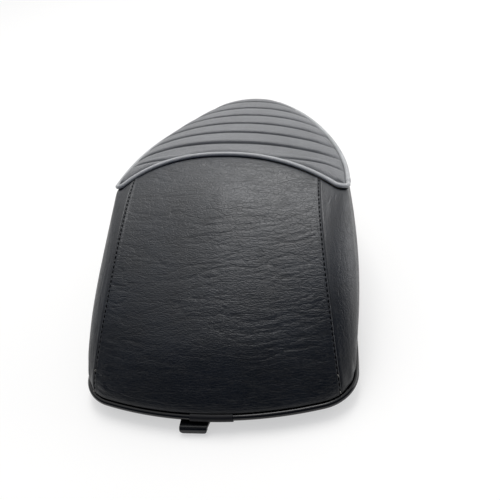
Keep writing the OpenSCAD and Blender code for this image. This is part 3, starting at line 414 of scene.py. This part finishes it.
def leather(name, color, roughness, grain, bump, stretch=(0.42, 1, 1), tint=0.25,
            specular=0.35, creases=0.5, foot=1.0):
    """Grained leather cloth: small cells, winding creases and pores, with its scale stretched."""
    m, t, s = new_material(name, color, roughness)
    coord = add(t, "ShaderNodeTexCoord")
    # Painted shade: the colour darker and the shine lower towards the foot
    split = add(t, "ShaderNodeSeparateXYZ")
    link(t, coord.outputs["Object"], split.inputs[0])
    height = add(t, "ShaderNodeMapRange", interpolation_type="SMOOTHSTEP", From_Min=0.012,
                 From_Max=0.1, To_Min=foot)
    link(t, split.outputs["Z"], height.inputs["Value"])
    shine = add(t, "ShaderNodeMath", operation="MULTIPLY")
    shine.inputs[1].default_value = specular
    link(t, height.outputs[0], shine.inputs[0])
    link(t, shine.outputs[0], s.inputs["Specular IOR Level"])
    mapping = add(t, "ShaderNodeMapping", Scale=stretch)
    link(t, coord.outputs["Object"], mapping.inputs["Vector"])
    warp = add(t, "ShaderNodeTexNoise", Scale=120.0, Detail=2.0)
    link(t, mapping.outputs[0], warp.inputs["Vector"])
    shift = add(t, "ShaderNodeVectorMath", operation="MULTIPLY_ADD")
    shift.inputs[1].default_value = (0.004, 0.004, 0.004)
    link(t, warp.outputs["Color"], shift.inputs[0])
    link(t, mapping.outputs[0], shift.inputs[2])
    cells = add(t, "ShaderNodeTexVoronoi", feature="DISTANCE_TO_EDGE", Scale=float(grain))
    link(t, shift.outputs[0], cells.inputs["Vector"])
    edge = add(t, "ShaderNodeMapRange", From_Max=0.16)
    link(t, cells.outputs["Distance"], edge.inputs["Value"])
    long = add(t, "ShaderNodeMapping", Scale=stretch)
    link(t, shift.outputs[0], long.inputs["Vector"])
    big = add(t, "ShaderNodeTexNoise", Scale=grain * 0.21, Detail=2.0)
    link(t, long.outputs[0], big.inputs["Vector"])
    middle = add(t, "ShaderNodeMath", operation="SUBTRACT")
    middle.inputs[1].default_value = 0.5
    link(t, big.outputs["Fac"], middle.inputs[0])
    away = add(t, "ShaderNodeMath", operation="ABSOLUTE")
    link(t, middle.outputs[0], away.inputs[0])
    big_edge = add(t, "ShaderNodeMapRange", From_Max=0.035)
    link(t, away.outputs[0], big_edge.inputs["Value"])
    pores = add(t, "ShaderNodeTexNoise", Scale=2600.0, Detail=2.0)
    link(t, coord.outputs["Object"], pores.inputs["Vector"])
    mix1 = add(t, "ShaderNodeMix", data_type="FLOAT", Factor=creases)
    link(t, edge.outputs[0], mix1.inputs[2])
    link(t, big_edge.outputs[0], mix1.inputs[3])
    mix2 = add(t, "ShaderNodeMix", data_type="FLOAT", Factor=0.18)
    link(t, mix1.outputs[0], mix2.inputs[2])
    link(t, pores.outputs["Fac"], mix2.inputs[3])
    b = add(t, "ShaderNodeBump", Strength=bump, Distance=0.0006)
    link(t, mix2.outputs[0], b.inputs["Height"])
    link(t, b.outputs[0], s.inputs["Normal"])
    # Broad blotches in the colour, and painted shade in the grain's pits and along the creases,
    # which leaves the ridges lighter
    blotch = add(t, "ShaderNodeTexNoise", Scale=26.0, Detail=3.0)
    link(t, coord.outputs["Object"], blotch.inputs["Vector"])
    ramp = add(t, "ShaderNodeValToRGB")
    lo = tuple(c * (1 - tint) for c in color)
    hi = tuple(min(1, c * (1 + tint)) for c in color)
    ramp.color_ramp.elements[0].position, ramp.color_ramp.elements[1].position = 0.3, 0.7
    ramp.color_ramp.elements[0].color = (*lo, 1)
    ramp.color_ramp.elements[1].color = (*hi, 1)
    link(t, blotch.outputs["Fac"], ramp.inputs["Fac"])
    pit_shade = add(t, "ShaderNodeMix", data_type="RGBA", blend_type="MULTIPLY", Factor=0.45)
    link(t, ramp.outputs["Color"], pit_shade.inputs[6])
    link(t, mix1.outputs[0], pit_shade.inputs[7])
    # Painted shade at the foot: the colour is multiplied by the height ramp
    shade = add(t, "ShaderNodeMix", data_type="RGBA", blend_type="MULTIPLY", Factor=1.0)
    link(t, pit_shade.outputs[2], shade.inputs[6])
    link(t, height.outputs[0], shade.inputs[7])
    link(t, shade.outputs[2], s.inputs["Base Color"])
    rough = add(t, "ShaderNodeMapRange", To_Min=min(1, roughness + 0.14),
                To_Max=roughness - 0.03)
    link(t, mix1.outputs[0], rough.inputs["Value"])
    link(t, rough.outputs[0], s.inputs["Roughness"])
    return m


def speckled(name, color, roughness, bump, scale=900, metallic=0.0, distance=0.0004,
             specular=0.5):
    """Painted, plated, rubber and foam finishes: fine bump, uneven colour and roughness."""
    tint, rough_spread = 0.15, 0.08
    m, t, s = new_material(name, color, roughness, Metallic=metallic)
    s.inputs["Specular IOR Level"].default_value = specular
    coord = add(t, "ShaderNodeTexCoord")
    fine = add(t, "ShaderNodeTexNoise", Scale=float(scale), Detail=4.0)
    link(t, coord.outputs["Object"], fine.inputs["Vector"])
    b = add(t, "ShaderNodeBump", Strength=bump, Distance=distance)
    link(t, fine.outputs["Fac"], b.inputs["Height"])
    link(t, b.outputs[0], s.inputs["Normal"])
    broad = add(t, "ShaderNodeTexNoise", Scale=45.0, Detail=4.0)
    link(t, coord.outputs["Object"], broad.inputs["Vector"])
    ramp = add(t, "ShaderNodeValToRGB")
    ramp.color_ramp.elements[0].position, ramp.color_ramp.elements[1].position = 0.3, 0.72
    ramp.color_ramp.elements[0].color = (*(c * (1 - tint) for c in color), 1)
    ramp.color_ramp.elements[1].color = (*(min(1, c * (1 + tint)) for c in color), 1)
    link(t, broad.outputs["Fac"], ramp.inputs["Fac"])
    link(t, ramp.outputs["Color"], s.inputs["Base Color"])
    rough = add(t, "ShaderNodeMapRange", To_Min=max(0.03, roughness - rough_spread),
                To_Max=roughness + rough_spread)
    link(t, broad.outputs["Fac"], rough.inputs["Value"])
    link(t, rough.outputs[0], s.inputs["Roughness"])
    return m


# foot is the share of colour and shine left at the bottom of the cloth: painted shade
plain_leather = leather("black_leathercloth", (0.0085, 0.0115, 0.0175), 0.38, grain=560, bump=0.4,
                        specular=0.64, foot=0.56)
side_leather = leather("black_leathercloth_sides", (0.009, 0.0115, 0.017), 0.4, grain=600,
                       bump=0.3, stretch=(1, 0.6, 0.5), specular=0.75, foot=0.5)
# The ribbed cloth's grey is partly its own tone and partly painted sheen: lighter than the plain
# cloth to stand in for the grazing reflection on the ribs
rib_leather = leather("ribbed_leathercloth", (0.165, 0.17, 0.18), 0.4, grain=1500, bump=0.3,
                      stretch=(1, 1, 1), creases=0.1, specular=1.0, tint=0.12)
welt_material = leather("grey_piping", (0.55, 0.56, 0.57), 0.42, grain=1700, bump=0.22,
                        stretch=(1, 1, 1), creases=0.1, tint=0.12)
trim_material = speckled("gloss_black_trim", (0.004, 0.004, 0.005), 0.14, bump=0.02,
                         specular=0.4)
sleeve_material = speckled("joint_sleeve_black", (0.005, 0.005, 0.007), 0.5, scale=1500, bump=0.2,
                           specular=0.25)
catch_material = speckled("catch_gloss_black", (0.004, 0.0045, 0.006), 0.22, scale=700, bump=0.05,
                          specular=0.3)
pan_material = speckled("pan_black_paint", (0.018, 0.018, 0.019), 0.42, scale=500, bump=0.12)
hinge_material = speckled("hinge_black_paint", (0.02, 0.02, 0.021), 0.38, scale=500, bump=0.12)
steel_material = speckled("plated_steel", (0.56, 0.57, 0.58), 0.3, scale=1400, bump=0.08,
                          metallic=1)
spring_material = speckled("spring_steel_wire", (0.3, 0.3, 0.31), 0.26, scale=1800, bump=0.06,
                           metallic=1)
zinc_material = speckled("zinc_plate", (0.62, 0.6, 0.52), 0.33, scale=1200, bump=0.1, metallic=1)
foam_material = speckled("moulded_foam", (0.62, 0.5, 0.24), 0.92, scale=1500, bump=0.5,
                         distance=0.001)
rubber_material = speckled("buffer_rubber", (0.012, 0.012, 0.012), 0.66, scale=1000, bump=0.2)
thread_material = speckled("black_thread", (0.002, 0.002, 0.003), 0.8, scale=4000, bump=0.3,
                           specular=0.08)
thread_end_material = speckled("pale_thread_end", (0.42, 0.4, 0.35), 0.7, scale=4000, bump=0.3)


# The cover's walls
def wall_grid(us, vs, back, side=1):
    """Skin of a wall, from its hem behind the bead up to the piping, as us by rows."""
    u, v = np.meshgrid(us, vs, indexing="ij")
    w = np.abs(u) if back else u
    foot = w * seam_foot if back else seam_foot + (base_len - seam_foot) * w
    head = w * seam_head if back else seam_head + (top_len - seam_head) * w
    hem = []
    for inset, z in HEM:
        q, _ = along(BASE, foot[:, 0], inset)
        hem.append(np.column_stack([q, np.full(len(q), z)]))
    p = np.concatenate([np.stack(hem, 1), wall(foot, head, v)], 1)
    p[..., 0] *= (np.where(us < 0, -1, 1) if back else np.full(len(us), side))[:, None]
    return tailored(p)


def arc_lengths(p, axis):
    """Lengths along the rows or columns of a grid of points."""
    d = np.linalg.norm(np.diff(p, axis=axis), axis=-1)
    pad = [(0, 0), (0, 0)]
    pad[axis] = (1, 0)
    return np.pad(np.cumsum(d, axis=axis), pad)


def tuck(below_head, above_foot):
    """How far the skin is drawn in next to the piping and above the trim."""
    return (-3.4 * bell(below_head, 2.6) - 0.9 * bell(below_head, 6)
            - 0.35 * bell(above_foot, 2.6) - 0.5 * bell(above_foot, 8))


def rear_panel():
    crowd = 1.25  # columns crowd together next to the seams
    us = np.sin(np.linspace(-1, 1, REAR_GRID[0]) * crowd) / math.sin(crowd)
    vs = np.linspace(0, 1, REAR_GRID[1])
    p = wall_grid(us, vs, True)
    n = -grid_normals(p)
    n *= np.sign(-(n[145, 100, 1])) or 1
    up = arc_lengths(p, 1)
    up -= up[:, len(HEM):len(HEM) + 1]
    across = arc_lengths(p, 0)
    total = up[:, -1:]
    side = np.minimum(across, across[-1] - across)
    lift = crease_field(p[..., 0], up, 3)
    lift *= (0.15 + 0.85 * ease(side / 9)) * ease((total - up) / 14) * ease(up / 10)
    lift += tuck(total - up, up)
    # The seam's groove, deepest under each stitch, with the folded edge beside it
    sewn = np.cos(2 * np.pi * up / STITCH_PITCH)
    lift += 0.5 * ease((side - 0.2) / 0.8) * (1 - 0.5 * ease((side - 3) / 3))
    lift -= (0.42 + 0.2 * sewn) * bell(side - STITCH_IN, 0.55)
    # The foam's crown
    lift += REAR_SWELL * ease(side / 105) * ease(up / 60) * ease((total - up) / 70)
    return p + n * lift[..., None], n, up


rear_skin, rear_normals, rear_up = rear_panel()
rear = sheet_piece("rear_cover_panel", rear_skin, rear_normals, SKIN, flip=False)
rear.data.materials.append(plain_leather)
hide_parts("cover_rear_panel")
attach(rear, "seat")


def side_panel(sign):
    us = np.linspace(0.0004, 0.9996, SIDE_GRID[0]) ** 1.15
    vs = np.linspace(0, 1, SIDE_GRID[1])
    p = wall_grid(us, vs, False, sign)
    n = unit(np.cross(np.gradient(p, axis=0), np.gradient(p, axis=1))) * sign
    up = arc_lengths(p, 1)
    up -= up[:, len(HEM):len(HEM) + 1]
    across = arc_lengths(p, 0)
    total = up[:, -1:]
    lift = 0.7 * crease_field(up, across, 21 + (sign > 0), long=30, tall=7)
    calm = ease(across / 8) * ease((total - up) / 12) * ease(up / 10)
    lift = lift * calm + tuck(total - up, up)
    lift += 0.35 * ease((across - 0.1) / 0.7) * (1 - 0.6 * ease((across - 2) / 3)) - 0.25
    # Gathers fan out from the foot of each rear corner
    fan = np.sin(across / 2.1 + 1.3 * fbm(across / 9, up / 9, 31))
    fan = fan * bell(across - 18, 16)
    lift += 0.4 * fan * bell(up - 6, 9)
    return p + n * lift[..., None], n


for sign, name, node in ((-1, "side_cover_left", "cover_side_left"),
                         (1, "side_cover_right", "cover_side_right")):
    skin, n = side_panel(sign)
    piece = sheet_piece(name, skin, n, SKIN, flip=sign > 0)
    piece.data.materials.append(side_leather)
    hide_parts(node)
    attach(piece, "seat")


# The ribbed top
def outline_top(count=700):
    """The closed line of the piping."""
    s = np.linspace(0, top_len, count)
    p, _ = along(TOP, s)
    right = np.column_stack([p, pipe_z(s)])
    left = right[::-1][:-1] * [-1, 1, 1]
    return np.concatenate([right, left[:-1]])


def ribbed_top():
    q = np.linspace(-1, 1, TOP_GRID[0])
    x = (TOP_HALF_W - 0.02) * np.sin(q * np.pi / 2)
    ax = np.abs(x)
    s = np.linspace(0, corner_len, 4000)
    rear_pts, _ = along(TOP, s)
    k = np.argmax(rear_pts[:, 0])
    lower = np.interp(ax, rear_pts[:k + 1, 0], rear_pts[:k + 1, 1])
    s = np.linspace(0, top_len, 9000)
    pts, _ = along(TOP, s)
    k = np.argmax(pts[:, 0])
    upper = np.interp(ax, pts[k:, 0][::-1], pts[k:, 1][::-1])
    t = np.linspace(0, 1, TOP_GRID[1])
    X = np.repeat(x[:, None], len(t), 1)
    Y = lower[:, None] + (upper - lower)[:, None] * t[None]
    # Rows crowd together at the cross seams
    at_ends = ease(t / 0.03) * ease((1 - t) / 0.03)
    turn = 2 * np.pi * (Y - (CREST_Y + FIRST_SEAM)) / RIB_PITCH
    Y = Y - 0.6 * RIB_PITCH / (2 * np.pi) * np.sin(turn) * at_ends[None]
    Z = top_z(X, Y)
    p = np.stack([X, Y, Z], -1)
    # Distance from the piping, seen from above
    edge = outline_top()
    flat = p.reshape(-1, 3)
    d = np.full(len(flat), 1e9)
    for a in range(0, len(edge), 40):
        gaps = ((flat[:, None, :2] - edge[None, a:a + 40, :2]) ** 2).sum(-1)
        d = np.minimum(d, np.sqrt(gaps).min(1))
    d = d.reshape(X.shape)
    # Each rib rises steeply at its near seam and falls off slowly to its far one
    f = (Y - (CREST_Y + FIRST_SEAM)) / RIB_PITCH
    ff = f - np.floor(f)
    near = 1 - (1 - clamp01(ff / 0.17)) ** 3
    far = 1 - (1 - clamp01((1 - ff) / 0.32)) ** 2.4
    pillow = near * far * (0.84 + 0.16 * np.sin(np.pi * ff))
    seam = np.minimum(ff, 1 - ff) * RIB_PITCH
    n = grid_normals(p)
    n *= np.sign(n[95, 200, 2])
    soft = 0.5 * ease(d / 6) + 0.5 * ease(d / 24)
    lift = RIB_SWELL * RIB_H * pillow * soft - 0.6 * bell(seam, 0.7) * soft
    lift -= 1.2 * bell(d, 2.4)
    lift += 0.35 * (fbm(X / 17, Y / 9, 51) - 0.5) * soft
    p = p + UP * lift[..., None]
    return tailored(p), n


skin, n = ribbed_top()
top = sheet_piece("ribbed_top_cover", skin, n, RIB_SKIN, flip=True)
top.data.materials.append(rib_leather)
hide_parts("cover_top_ribbed")
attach(top, "seat")


def settled_foam():
    """The CAD foam, askew with the cover and a little smaller where the cover presses on it."""
    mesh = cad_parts["foam_pad"].data.copy()
    mesh.name = "moulded_foam"
    flat = np.empty(3 * len(mesh.vertices))
    mesh.vertices.foreach_get("co", flat)
    p = flat.reshape(-1, 3) * 1000
    p[:, 1] += MID_Y
    w = ease((p[:, 2] - FOAM_FROM_Z) / FOAM_RISE)
    p[:, 0] *= 1 - FOAM_NARROWER * w
    p[:, 1] += (MID_Y - p[:, 1]) * FOAM_SHORTER * w
    p[:, 2] -= FOAM_LOWER * w
    mesh.vertices.foreach_set("co", to_frame(tailored(p)).ravel())
    mesh.materials.clear()
    mesh.materials.append(foam_material)
    mesh.update()
    return add_object("moulded_foam", mesh)


foam = settled_foam()
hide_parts("foam_pad")
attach(foam, "seat")

# Piping and trim
edge = tailored(outline_top(500))
welt = tube("piping", edge, PIPING_R, closed=True)
welt.data.materials.append(welt_material)
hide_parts("piping_welt")
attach(welt, "seat")


def swept_section(name, section):
    """A section of distances out and heights, swept along the base outline."""
    count = 260
    p, o = along(BASE, np.linspace(0, base_len, count))
    sx, sz = section[:, 0], section[:, 1]
    right = np.concatenate([p[:, None] + o[:, None] * sx[None, :, None],
                            np.broadcast_to(sz[None, :, None], (count, len(sz), 1))], -1)
    left = right[::-1][1:-1] * [-1, 1, 1]
    ring = np.concatenate([right, left])
    return add_mesh(name, ring.reshape(-1, 3), ring_faces(*ring.shape[:2], closed=True))


def trim_section():
    """The bead, and the channel that grips the pan's rim."""
    rim_inset, pan_t, gap, wall_t, rim_z, leg_h = 8, 1.2, 0.3, 1.2, 13.8, 6
    inner = -(rim_inset + pan_t + gap)
    leg, base_z = inner - wall_t, rim_z - gap - wall_t
    low = math.asin((BEAD_Z - base_z) / BEAD_R)
    high = math.asin((BEAD_Z - base_z - wall_t) / BEAD_R)
    w = np.linspace(low - math.pi, math.pi + high, 30)
    bead = np.column_stack([BEAD_R * np.cos(w), BEAD_Z + BEAD_R * np.sin(w)])
    rest = [[inner, base_z + wall_t], [inner, base_z + leg_h], [leg, base_z + leg_h], [leg, base_z]]
    return np.concatenate([bead, rest])


trim = swept_section("edge_bead_trim", trim_section())
trim.data.materials.append(trim_material)
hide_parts("edge_trim")
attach(trim, "seat")


def lap_joint():
    """The sleeve of piping cloth where the piping's ends overlap."""
    s = np.linspace(JOINT_AT, JOINT_AT + JOINT_LEN, 12)
    points, _ = along(TOP, s)
    path = tailored(np.column_stack([points, pipe_z(s)]))
    k = np.linspace(-1, 1, len(s))
    return tube("piping_lap_joint", path, PIPING_R + JOINT_SWELL * np.sqrt(1 - 0.9 * k * k))


lap = lap_joint()
lap.data.materials.append(welt_material)
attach(lap, "seat")


# Stitches
def tube_group(name, paths, radius, material):
    """Several short tubes with flat ends as one piece."""
    sides, points, faces = 8, [], []
    for path in paths:
        faces += ring_faces(len(path), sides, start=len(points))
        points += rings(path, radius, sides).reshape(-1, 3).tolist()
    obj = add_mesh(name, np.array(points), faces)
    obj.data.materials.append(material)
    return obj


def capsules(name, centres, dirs, ups, size, material):
    """Stitches: short bodies with round ends that dip into the cloth."""
    points, faces = [], []
    length, width, height = size
    sides, along_it = 8, (-1, -0.82, -0.4, 0, 0.4, 0.82, 1)
    swell = (0.15, 0.7, 1, 1, 1, 0.7, 0.15)
    for c, d, w in zip(centres, dirs, ups):
        side = np.cross(d, w)
        faces += ring_faces(len(swell), sides, start=len(points))
        for r, k in zip(along_it, swell):
            for j in range(sides):
                a = 2 * math.pi * j / sides
                points.append(c + d * r * length / 2 + k * (
                    side * math.cos(a) * width / 2 + w * math.sin(a) * height / 2)
                    - w * 0.25 * r * r)
    obj = add_mesh(name, np.array(points), faces)
    obj.data.materials.append(material)
    return obj


def seam_line(sign, inside):
    """Points, normals and heights over the bead, at a distance in from the rear panel's edge."""
    p, m, h = rear_skin, rear_normals, rear_up
    if sign > 0:
        p, m, h = p[::-1], m[::-1], h[::-1]
    p, m, h = p[:40], m[:40], h[:40]
    d = arc_lengths(p, 0)
    cols = range(p.shape[1])

    def at(g, j):
        return np.interp(inside, d[:, j], g[:, j])

    line = np.array([[at(p[..., i], j) for i in range(3)] for j in cols])
    up = np.array([[at(m[..., i], j) for i in range(3)] for j in cols])
    return line, unit(up), np.array([at(h, j) for j in cols])


def on_line(values, height, where):
    return np.column_stack([np.interp(where, height, values[:, i]) for i in range(3)])


def seam_pieces(sign, name):
    """One topstitched seam: its stitches and the pale ends of its thread."""
    line, up, height = seam_line(sign, STITCH_IN)
    where = np.arange(1, int((height[-1] - 2.5) / STITCH_PITCH) + 1) * STITCH_PITCH
    where = where + rng.uniform(-0.12, 0.12, len(where))
    centres = on_line(line, height, where)
    ahead = on_line(line, height, where + 1)
    ups = unit(on_line(up, height, where))
    stitches = capsules(name + "_stitches", centres + ups * 0.12, unit(ahead - centres), ups,
                        STITCH_SIZE, thread_material)
    tufts = []
    for h in PALE_ENDS[sign]:
        start = on_line(line, height, np.array([h]))[0]
        out = unit(on_line(up, height, np.array([h])))[0]
        run = unit(on_line(line, height, np.array([h + 1]))[0] - start)
        k = np.linspace(0, 1, 8)[:, None]
        tufts.append(start + out * (0.3 + 0.9 * np.sin(2.2 * k)) + run * 2.4 * (k - 0.5)
                     + np.cross(out, run) * 0.7 * k * k * sign)
    return stitches, tube_group(name + "_thread_ends", tufts, THREAD_R, thread_end_material)


for sign, name in ((-1, "left_seam"), (1, "right_seam")):
    for piece in seam_pieces(sign, name):
        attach(piece, "seat")

# Materials of the CAD's own nodes
NODE_MATERIALS = {
    "base_pan": pan_material, "trim_joint_sleeve": sleeve_material,
    "catch_bracket": steel_material, "catch_lever": catch_material, "catch_pin": steel_material,
    "catch_spring": spring_material, "catch_rivets": zinc_material,
    "hinge_seat_leaf": hinge_material, "hinge_frame_leaf": hinge_material,
    "hinge_pin": steel_material, "hinge_bolts": zinc_material, "hinge_nuts": zinc_material,
    "buffer_rear_left": rubber_material, "buffer_rear_right": rubber_material,
    "buffer_front_left": rubber_material, "buffer_front_right": rubber_material,
    "buffer_screws": zinc_material,
}
for name, material in NODE_MATERIALS.items():
    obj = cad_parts[name]
    for slot in obj.material_slots:
        slot.material = material


# Floor, light and camera
def floor_material():
    """Matt, keeps the object's shadow, and is lifted to white where the camera sees it."""
    m = bpy.data.materials.new("floor_white")
    m.use_nodes = True
    t = m.node_tree
    t.nodes.remove(t.nodes["Principled BSDF"])
    matt = add(t, "ShaderNodeBsdfDiffuse", Color=(*FLOOR_COLOR, 1))
    lift = add(t, "ShaderNodeEmission", Color=(1, 1, 1, 1))
    path = add(t, "ShaderNodeLightPath")
    either = add(t, "ShaderNodeMath", operation="MAXIMUM")
    link(t, path.outputs["Is Camera Ray"], either.inputs[0])
    link(t, path.outputs["Is Glossy Ray"], either.inputs[1])
    scale = add(t, "ShaderNodeMath", operation="MULTIPLY")
    scale.inputs[1].default_value = FLOOR_LIFT
    link(t, either.outputs[0], scale.inputs[0])
    link(t, scale.outputs[0], lift.inputs["Strength"])
    both = add(t, "ShaderNodeAddShader")
    link(t, matt.outputs[0], both.inputs[0])
    link(t, lift.outputs[0], both.inputs[1])
    link(t, both.outputs[0], t.nodes["Material Output"].inputs["Surface"])
    return m


bpy.ops.mesh.primitive_plane_add(size=FLOOR_SIZE, location=(0, 3.5, 0))
floor = bpy.context.object
floor.name = "floor"
floor.data.materials.append(floor_material())


def studio_world():
    """Bright above and behind the seat, dim towards the camera, white where the camera looks."""
    world = bpy.data.worlds.new("studio")
    bpy.context.scene.world = world
    world.use_nodes = True
    t = world.node_tree
    bg = t.nodes["Background"]
    coord = add(t, "ShaderNodeTexCoord")
    split = add(t, "ShaderNodeSeparateXYZ")
    link(t, coord.outputs["Generated"], split.inputs[0])
    y = add(t, "ShaderNodeMath", operation="MULTIPLY_ADD")
    y.inputs[1].default_value = 0.9
    link(t, split.outputs["Y"], y.inputs[0])
    link(t, split.outputs["Z"], y.inputs[2])
    x = add(t, "ShaderNodeMath", operation="MULTIPLY_ADD")
    x.inputs[1].default_value = -0.2
    link(t, split.outputs["X"], x.inputs[0])
    link(t, y.outputs[0], x.inputs[2])
    scale = add(t, "ShaderNodeMapRange", interpolation_type="SMOOTHSTEP", From_Min=0.15,
                From_Max=1.15)
    link(t, x.outputs[0], scale.inputs["Value"])
    ramp = add(t, "ShaderNodeMix", data_type="RGBA")
    link(t, scale.outputs[0], ramp.inputs[0])
    ramp.inputs[6].default_value = (0.03, 0.042, 0.075, 1)
    ramp.inputs[7].default_value = (1, 1, 1, 1)
    link(t, ramp.outputs[2], bg.inputs["Color"])
    bg.inputs["Strength"].default_value = 1.0
    white = add(t, "ShaderNodeBackground", Color=(1, 1, 1, 1), Strength=1.0)
    path = add(t, "ShaderNodeLightPath")
    either = add(t, "ShaderNodeMath", operation="MAXIMUM")
    link(t, path.outputs["Is Camera Ray"], either.inputs[0])
    link(t, path.outputs["Is Transmission Ray"], either.inputs[1])
    mix = add(t, "ShaderNodeMixShader")
    link(t, either.outputs[0], mix.inputs[0])
    link(t, bg.outputs[0], mix.inputs[1])
    link(t, white.outputs[0], mix.inputs[2])
    link(t, mix.outputs[0], t.nodes["World Output"].inputs["Surface"])


studio_world()


def area_light(name, location, target, size, energy, size_y=None):
    data = bpy.data.lights.new(name, "AREA")
    data.energy = energy
    data.size = size
    if size_y:
        data.shape = "RECTANGLE"
        data.size_y = size_y
    obj = add_object(name, data)
    obj.location = location
    direction = (Vector(target) - Vector(location)).to_track_quat("-Z", "Y")
    obj.rotation_euler = direction.to_euler()
    return obj


area_light("key", (-0.08, 0.64, 1.95), (0, 0, 0.05), 0.7, 19, size_y=1.6)
area_light("right_fill", (1.35, 0.45, 0.42), (0.05, 0, 0.06), 0.9, 6)


def add_camera():
    """The photo's camera, fitted to the trim, the seams and the silhouette."""
    cy, sy = math.cos(rad(YAW)), math.sin(rad(YAW))
    cp, sp = math.cos(rad(PITCH)), math.sin(rad(PITCH))
    cr, sr = math.cos(rad(ROLL)), math.sin(rad(ROLL))
    forward = np.array([sy * cp, cy * cp, sp])
    right = np.array([cy, -sy, 0.0])
    upward = np.cross(right, forward)
    data = bpy.data.cameras.new("camera")
    data.sensor_width = SENSOR_W
    data.sensor_fit = "HORIZONTAL"
    data.lens = FOCAL / PHOTO_W * SENSOR_W
    data.clip_start = 0.01
    axes = [cr * right + sr * upward, -sr * right + cr * upward, -forward, to_frame(CAM)]
    camera = add_object("camera", data)
    camera.matrix_world = Matrix([*np.column_stack(axes).tolist(), [0, 0, 0, 1]])
    bpy.context.scene.camera = camera


add_camera()
bpy.context.scene.view_settings.view_transform = "Standard"
